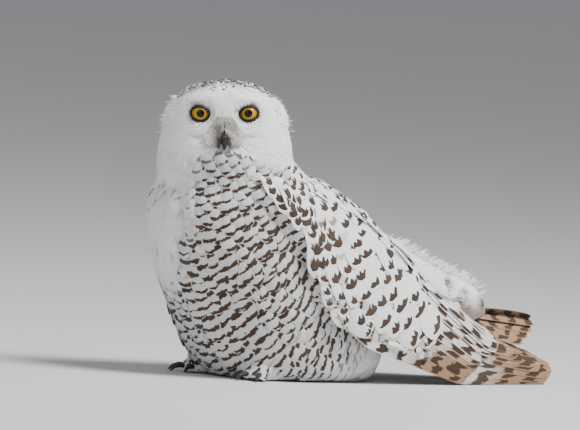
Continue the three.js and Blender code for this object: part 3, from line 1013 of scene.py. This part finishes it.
def tailFeathers():
    rule = tailHabit
    count = rule["feathers"]
    out = np.linspace(-1, 1, count) * rule["spread"]
    reach = rule["tip"] - rule["shorter"] * np.abs(out)[:, None] ** 1.5 - rule["root"]
    y, a = rule["root"] + reach * longSteps, out[:, None] + 0 * longSteps
    across = roofPoint(y, a + 0.05) - roofPoint(y, a - 0.05)
    along = roofPoint(y + 2, a) - roofPoint(y - 2, a)
    normals = unit(np.cross(across, along))
    path = fromBird(roofPoint(y, a)) - normals * (0.4 + 3.2 * np.abs(out))[:, None, None] / 1000
    marks = {"bars": 7.6, "phase": 0.25 + 0.04 * chance.random(count), "strength": 0.95, "buff": 2.2,
             "parted": 0.0}
    stampVanes("tail_vanes", flightVane, flightFeather, path, normals, rule["width"] / 1000, None, marks,
               nodes=["tail"], patch=(0.065, 0.9), camber=0.08, **longHabit)


tailFeathers()

# head

headHabit = {"rays": 13000, "fringeWidth": 0.9, "lidHalf": (10.1, 7.2), "lidTilt": 9, "lidTop": 0.88,
             "lidLow": 1.04}
lidTilt = radians(headHabit["lidTilt"])


def headRoots():
    count = headHabit["rays"]
    i = np.arange(count) + 0.5
    z = 1 - 2 * i / count
    turn = i * pi * (1 + sqrt(5))
    flat = np.sqrt(1 - z * z)
    rays = joined(flat * np.cos(turn), flat * np.sin(turn), z)
    rays = rays[z > -0.78]
    spots, faces = shoot(np.tile(headAt, (len(rays), 1)), rays @ headAxes.T, 0.14)
    return spots, faces, toHead(spots)


def almond(z, outer):
    # height of the opening against a plain oval's; outer is -1 at the bill and 1 at the outer corner
    top = headHabit["lidTop"]
    return np.where(z > 0, top + (1 - top) * outer, headHabit["lidLow"])


def eyeShare(local):
    # 1 on the edge of the nearer lid opening
    out, up = np.abs(local[:, 0]) - eyeX, local[:, 2] - eyeZ
    x = out * cos(lidTilt) + up * sin(lidTilt)
    z = up * cos(lidTilt) - out * sin(lidTilt)
    a, b = headHabit["lidHalf"]
    return np.hypot(x / a, z / almond(z, x / np.maximum(np.hypot(x, z), 0.1)) / b)


def lidEdge(turn, grow):
    # the almond of the opening, drawn down toward the bill; x runs outward, away from the bill
    a, b = headHabit["lidHalf"]
    x, z = (a + grow) * np.cos(turn), (b + grow) * np.sin(turn)
    z = z * almond(z, np.cos(turn))
    return x * cos(lidTilt) - z * sin(lidTilt), x * sin(lidTilt) + z * cos(lidTilt)


def headAim(spots):
    # away from the bill, round the eyes, and down over the neck
    local = toHead(spots)
    aim = unit(local - np.array([0, -58, -14]))
    offEye = local - joined(np.sign(local[:, 0]) * eyeX, local[:, 1], eyeZ)
    far = size(offEye[:, [0, 2]])
    near = (hump(np.maximum(far - 8, 0), 9) * (local[:, 1] < -20))[:, None]
    aim = unit(aim * (1 - near) + unit(offEye) * near * 1.1)
    down = ease(-26, -50, local[:, 2])[:, None]
    return unit(aim * (1 - 0.75 * down) + np.array([0, 0.1, -1.0]) * down) @ headAxes.T


def crownMarks(local, front):
    # bold streaks on the crown, a few dots on the brow, dark tufts at its corners, light flecks on the nape,
    # and painted shade under the brow and in the cheek creases
    count, (x, y, z) = len(local), local.T
    reach = np.abs(x)
    crown = ease(21, 29, z + 0.1 * reach) * (chance.random(count) < 0.85)
    brow = ease(12, 20, z) * (chance.random(count) < 0.11) * (reach < 22)
    corner = hump(reach - 41, 5) * hump(z - 25, 5) > 0.35
    nape = (y > 15) * (chance.random(count) < 0.16)
    # painted shade: darker just over each eye under the brow, and along the creases of the cheeks
    painted_face_shade = hump(reach - 29.5, 4) * hump(z - 10.5, 1.6) * front * 0.75
    cheek = hump(z + 19 + 0.012 * (reach - 20) ** 2, 1.1) * ease(10, 14, reach)
    painted_face_shade = painted_face_shade + 0.2 * cheek * ease(40, 28, reach) * front
    bold = crown > 0.2
    return {"strength": np.clip(crown + brow + corner + 0.8 * nape, 0, 1), "place": 0.72, "second": 0.0,
            "wide": np.where(bold, chance.uniform(0.8, 1.2, count), 0.7),
            "high": np.where(bold, chance.uniform(0.3, 0.5, count), 0.3), "painted_face_shade": painted_face_shade}


def headPlumage():
    spots, faces, local = headRoots()
    x, y, z = local.T
    front = y < -8
    opening = (eyeShare(local) < 1.14 + 0.2 * ease(3, 10, eyeX - np.abs(x))) & (y < -25)
    inside = size(local - np.array([0, 0, -10])) < 44
    onBill = (np.abs(x) < 6.5) & (z < -6) & (z > -37) & (y < -50)
    keep = ~opening & ~inside & ~onBill & (front | (chance.random(len(local)) < 0.6))
    keep &= ~front | (z > -34 - 0.004 * x ** 2)  # the chin
    spots, faces, local, front = spots[keep], faces[keep], local[keep], front[keep]
    x, y, z = local.T
    nearEye = hump(np.maximum(eyeShare(local) - 1, 0), 0.8)
    small = np.maximum(nearEye, hump(np.hypot(x, z + 18), 20)) * (y < -25)
    lengths = np.where(front, 12.0, 15.0) * (1 - 0.6 * small) / 1000 * chance.uniform(0.85, 1.15, len(local))
    marks = crownMarks(local, front)
    bold = ease(18, 27, z)
    lengths = lengths * (1 + 1.0 * bold)
    widths = lengths * (0.36 + 0.20 * bold)
    path, normals, faces = traceSpines(spots, headAim, lengths, 4)
    tall = ease(-12, 0, z) * ease(26, 16, z)
    lifts = 0.0045 * ease(46, 56, np.abs(x)) * tall * (chance.random(len(local)) < 0.5)
    for name, group in (("face_plumage", front), ("crown_plumage", ~front)):
        piece = {key: np.broadcast_to(value, len(local))[group] for key, value in marks.items()}
        stampVanes(name, smallVane, headFeather, path[group], normals[group], widths[group], faces[group],
                   piece, sink=0.0012, lift=0.0005, roll=0.10, swing=0.12, lifts=lifts[group])


def headFringe():
    # loose hairs that stand off both sides of the face
    spots, faces, local = headRoots()
    x, y, z = local.T
    side = ease(44, 52, np.abs(x)) * ease(-25, -5, z) * ease(32, 24, z)
    keep = (chance.random(len(spots)) < 0.22 * side) & (y < 6) & (y > -30)
    spots, faces = spots[keep], faces[keep]
    count = len(spots)
    aim = unit(joined(np.sign(x[keep]), 0.25, 0.35) @ headAxes.T + chance.normal(0, 0.2, (count, 3)))
    lengths = chance.uniform(0.005, 0.010, count)
    t = np.linspace(0, 1, 4)[None, :, None]
    path = spots[:, None] + aim[:, None] * lengths[:, None, None] * (1.2 * t - 0.2)
    stampHairs("face_fringe", path, aim, headAxes[:, 1] + 0.1, headHabit["fringeWidth"], faces, 0.15)


headPlumage()
headFringe()

# bristles that fan down over the bill from between the eyes, leaving its tip bare
bristleHabit = {
    # height, depth to the face, half width of the head, how far the bill stands out
    "face": [(-44, 62, 71.5, 2), (-36, 61, 71, 5), (-28, 60, 70, 9), (-22, 58.5, 69, 9), (-14, 57, 67, 6),
             (-6, 56, 64.5, 2.5), (4, 54, 60, 0)],
    "count": 2300, "ridge": 6.0, "low": -28, "length": 10, "width": 1.25,
    # half width of the bare bill by height
    "bare": ([-38, -34, -30, -24, -20, -16], [0.6, 1.8, 3.0, 3.6, 1.6, -1]),
}


def muzzlePoint(x, z):
    deep, half, proud = readRows(bristleHabit["face"], z)
    y = -deep * np.clip(1 - (x / half) ** 2, 0.01, 1) ** 0.41 - proud * hump(x, bristleHabit["ridge"])
    return joined(x, y, z)


def billBristles():
    rule = bristleHabit
    count = rule["count"]
    share = np.sqrt(chance.random(count))
    z = rule["low"] * share
    across = chance.uniform(-1, 1, count)
    x = across * np.interp(share, [0, 0.3, 0.65, 1], [8.5, 13, 17.5, 13.5])
    slope = np.sign(x) * (0.25 + 0.75 * np.abs(across)) * (0.5 + 0.6 * share)
    length = rule["length"] * chance.uniform(0.7, 1.15, count) * (1 - 0.3 * share)
    t = np.linspace(0, 1, 5)[None, :]
    fall = length[:, None] * t / np.hypot(1, slope)[:, None]
    xs = x[:, None] + slope[:, None] * fall * (1 - 0.25 * t)
    zs = z[:, None] - fall
    side = muzzlePoint(xs + 0.3, zs) - muzzlePoint(xs - 0.3, zs)
    down = muzzlePoint(xs, zs - 0.3) - muzzlePoint(xs, zs + 0.3)
    normals = unit(np.cross(side, down))
    normals = normals * -np.sign(normals[:, :, 1:2])
    path = muzzlePoint(xs, zs) + normals * (0.6 + 1.6 * t * chance.random(count)[:, None])[:, :, None]
    kept = ~(np.abs(xs) < np.interp(zs, *rule["bare"]))[:, 1:].any(axis=1)
    path, normals, x, z = path[kept], normals[kept], x[kept], z[kept]
    count = len(x)
    place = fromHead(path)
    _, faces = onShell(place[:, 0])
    dark = np.exp(-(x / 5.2) ** 4) * ease(-12, -20, z)
    tanned = ease(4, -4, z) * ease(-18, -6, z) * 0.35 + 0.12
    fade = np.clip(ease(6, 16, np.abs(x)) * 0.65 + ease(-6, 1, z) * 0.2, 0, 0.8)
    marks = {"dark": np.clip(dark + chance.uniform(-0.1, 0.12, count), 0, 1), "tan": tanned, "fade": fade}
    stampVanes("bill_bristles", smallVane, bristleFeather, place, normals @ headAxes.T,
               rule["width"] / 1000, faces, marks, swing=0.06, camber=0.3, **looseHabit)


billBristles()

# eyes, lids, bill, claws

eyeHabit = {"radius": 12.3, "slack": 0.6, "cornea": 0.9, "corneaHalf": 7.5, "pupil": 4.5, "iris": 10.4,
            "lidThick": 0.55, "lidReach": 2.1, "lidGap": 0.35, "corner": 1.5, "wall": 3.0}


def eyeMaterial():
    material, tree, shader = newMaterial("owl eye", roughness=0.16, specular=0.28)
    ring = attribute(tree, "ring")
    gold = blend(tree, objectNoise(tree, 900.0, 3.0), (0.42, 0.205, 0.008, 1), (0.62, 0.36, 0.015, 1))
    gold = blend(tree, ramp(ring, 5.0, 9.8), gold, (0.50, 0.26, 0.010, 1))
    pupil = ramp(ring, eyeHabit["pupil"] - 0.15, eyeHabit["pupil"] + 0.2)
    colour = blend(tree, pupil, (0.004, 0.004, 0.005, 1), gold)
    rim = ramp(ring, eyeHabit["iris"] - 0.7, eyeHabit["iris"])
    feed(shader.inputs["Base Color"], blend(tree, rim, colour, (0.01, 0.008, 0.007, 1)))
    return material


def hornMaterial():
    material, tree, shader = newMaterial("black horn", roughness=0.5, specular=0.25)
    noise = objectNoise(tree, 220.0, 4.0)
    feed(shader.inputs["Base Color"], blend(tree, noise, (0.012, 0.013, 0.016, 1), (0.05, 0.05, 0.055, 1)))
    feed(shader.inputs["Roughness"], ramp(noise, 0.2, 0.8, 0.5, 0.7))
    emboss(shader, noise, 0.2, 0.0003)
    return material


hornFinish = hornMaterial()
lidFinish = newMaterial("dark eyelid", roughness=0.6, specular=0.25, colour=(0.014, 0.012, 0.011, 1))[0]
eyeFinish = eyeMaterial()


def makeEye(sideName):
    side, rule = sides[sideName], eyeHabit
    eye = newShape(bpy.ops.mesh.primitive_uv_sphere_add, "eyeball_" + sideName, segments=64, ring_count=40,
                   radius=1)
    points = meshArrays(eye)[0][:, [0, 2, 1]] * np.array([1, -1, 1])  # the pole faces forward
    x, y, z = points.T
    ring = np.hypot(x, z) * rule["radius"]
    bulge = rule["cornea"] * np.clip(1 - (ring / rule["corneaHalf"]) ** 2, 0, 1) * (y < 0)
    points = points * (rule["radius"] - rule["slack"]) + joined(side * eyeX, eyeY - bulge, eyeZ)
    movePoints(eye, fromHead(points))
    # the iris ends under the lid, and the ball is dark from there on
    edgeX, edgeZ = lidEdge(np.linspace(-pi, pi, 361), 0.5 * rule["lidReach"])
    turned = np.arctan2(edgeZ, edgeX)
    order = np.argsort(turned)
    limit = np.interp(np.arctan2(z, side * x), turned[order], np.hypot(edgeX, edgeZ)[order], period=2 * pi)
    setValues(eye.data, "ring", np.where((y < 0) & (ring < limit), ring, 12))
    faceOutward(eye)
    bpy.ops.object.shade_smooth()
    finishPiece(eye, eyeFinish, "eye", "eye_" + sideName)


def makeLid(sideName):
    side, rule, tube = sides[sideName], eyeHabit, 0.25
    lid = newShape(bpy.ops.mesh.primitive_torus_add, "lid_" + sideName, major_segments=72, minor_segments=12,
                   major_radius=1, minor_radius=tube)
    x, y, z = meshArrays(lid)[0].T
    turn, far, high = np.arctan2(y, x), (np.hypot(x, y) - 1) / tube, z / tube
    hood = 1 + 0.5 * np.clip(np.sin(turn), 0, 1) ** 2
    corner = np.clip(-np.cos(turn), 0, 1) ** 2  # the lid is broader toward the bill
    broad = np.where(far > 0, hood, np.where(far < -0.5, 1 + 2.4 * corner, 1))
    flatX, flatZ = lidEdge(turn, (far + 0.5) * rule["lidReach"] * 0.5 * broad)
    rest = np.sqrt(np.maximum((rule["radius"] + 0.1) ** 2 - flatX ** 2 - flatZ ** 2, 9))
    wall = rule["wall"] * np.clip(-high, 0, 1)  # back along the eyeball, so that no down shows
    depth = -rest - high * rule["lidThick"] - rule["lidGap"] - rule["corner"] * corner + wall
    movePoints(lid, fromHead(joined(side * (eyeX + flatX), eyeY + depth, eyeZ + flatZ)))
    faceOutward(lid)
    bpy.ops.object.shade_smooth()
    finishPiece(lid, lidFinish, "horn")


for sideName in sides:
    makeEye(sideName)
    makeLid(sideName)

for nodeName, node in frame["nodes"].items():
    if nodeName.startswith(("bill_", "claw_")):
        node.data.materials.clear()
        node.data.materials.append(hornFinish)

# feathered toes and the ragged edge of the belly

tuftHabit = {"perFoot": 700, "length": 9, "width": 2.6, "edge": 900, "edgeLength": 20, "edgeWidth": 2.4}


def stampTufts(name, roots, aim, length, spread, width, floor, marks, **habit):
    lengths = length / 1000 * chance.uniform(*spread, len(roots))
    path, normals, faces = traceSpines(roots, lambda spots: aim, lengths, 4)
    path[:, :, 2] = np.maximum(path[:, :, 2], originAt[2] + floor)
    stampVanes(name, smallVane, softFeather, path, normals, width / 1000, faces, marks, roll=0.3, swing=0.2,
               **habit)


def footTufts():
    roots, outward = [], []
    for side in sides:
        low, high = (np.array(c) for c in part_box("foot_" + side))
        box = chance.uniform(low - 0.004, high + 0.004, (tuftHabit["perFoot"] * 3, 3))
        spots, faces = onShell(box)
        near = (size(spots - box) < 0.010) & (faceNormals[faces][:, 2] > -0.35)
        near &= spots[:, 2] > low[2] + 0.0035
        roots.append(spots[near])
        outward.append(spots[near] - (low + high) / 2)
    roots, outward = np.concatenate(roots), np.concatenate(outward)
    x, y, _ = outward.T
    aim = unit(joined(x, y - 0.010, -0.3 * np.hypot(x, y) - 0.002))
    stampTufts("toe_tufts", roots, aim, tuftHabit["length"], (0.7, 1.15), tuftHabit["width"], 0.0012,
               {"strength": 0.0, "buff": 0.12}, sink=0.0008, lift=0.0006)


def bellyEdge():
    # loose ends that hang round the foot of the body down to the floor
    turn = chance.uniform(-pi, pi, tuftHabit["edge"])
    out = joined(np.sin(turn) * 67, 92 - np.cos(turn) * 100, chance.uniform(10, 30, len(turn)))
    spots, _ = onShell(fromBird(out))
    down = joined(np.sin(turn) * 0.45, -np.cos(turn) * 0.30, -1.0)
    down = unit(down + chance.normal(0, 0.2, down.shape))
    stampTufts("belly_edge", spots, down, tuftHabit["edgeLength"], (0.6, 1.15), tuftHabit["edgeWidth"],
               0.0008, {"strength": 0.05, "buff": 0.08}, sink=0.0, lift=0.0018)


footTufts()
bellyEdge()

x, y, z = toBird(meshArrays(skin)[0]).T
setValues(skin.data, "barred", ease(228, 210, z) * ease(150, 60, y))
finishPiece(skin, skinMaterial(), "plumage", *fleshNodes)
print("all pieces made")

# floor, light and camera

viewHabit = {"azimuth": 52, "elevation": 3, "roll": 4, "distance": 14.0, "perPixel": 0.00106,
             "centre": (219, 376), "middle": (290, 215), "picture": 580, "sensor": 36}
lightHabit = {
    "sky": (0.93, 0.96, 1.0, 1), "skyStrength": 0.38, "aim": (0, 0, 0.15),
    # place, size, power
    "sky_panel": ((1.7, 0.9, 3.2), 1.8, 240), "front_panel": ((1.4, -2.8, 1.7), 2.5, 22),
}


def makeStage():
    floor = newShape(bpy.ops.mesh.primitive_plane_add, "studio_floor", size=120, location=(0, 0, 0))
    material = newMaterial("pale floor", roughness=0.9, specular=0.1, colour=(0.62, 0.62, 0.62, 1))[0]
    floor.data.materials.append(material)


def makeLight():
    world = bpy.data.worlds.new("soft sky")
    world.use_nodes = True
    sky = world.node_tree.nodes["Background"].inputs
    sky[0].default_value, sky[1].default_value = lightHabit["sky"], lightHabit["skyStrength"]
    bpy.context.scene.world = world
    for name in ("sky_panel", "front_panel"):
        place, size, energy = lightHabit[name]
        light = bpy.data.lights.new(name, "AREA")
        light.shape = "DISK"
        light.size = size
        light.energy = energy
        lamp = bpy.data.objects.new(name, light)
        lamp.location = place
        lamp.rotation_euler = (Vector(lightHabit["aim"]) - Vector(place)).to_track_quat("-Z", "Y").to_euler()
        bpy.context.scene.collection.objects.link(lamp)


def makeCamera():
    rule = viewHabit
    turn, lift, roll = (radians(rule[key]) for key in ("azimuth", "elevation", "roll"))
    axes = Matrix.Rotation(turn, 4, "Z") @ Matrix.Rotation(pi / 2 - lift, 4, "X")
    axes = axes @ Matrix.Rotation(roll, 4, "Z")
    across, down = ((rule["middle"][k] - rule["centre"][k]) * rule["perPixel"] for k in (0, 1))
    place = Vector(originAt) + axes @ Vector((across, -down, rule["distance"]))
    camera = bpy.data.cameras.new("picture")
    camera.sensor_width = rule["sensor"]
    camera.lens = rule["distance"] * rule["sensor"] / (rule["picture"] * rule["perPixel"])
    camera.clip_end = 200
    holder = bpy.data.objects.new("picture", camera)
    holder.matrix_world = Matrix.Translation(place) @ axes
    bpy.context.scene.collection.objects.link(holder)
    bpy.context.scene.camera = holder


makeStage()
makeLight()
makeCamera()
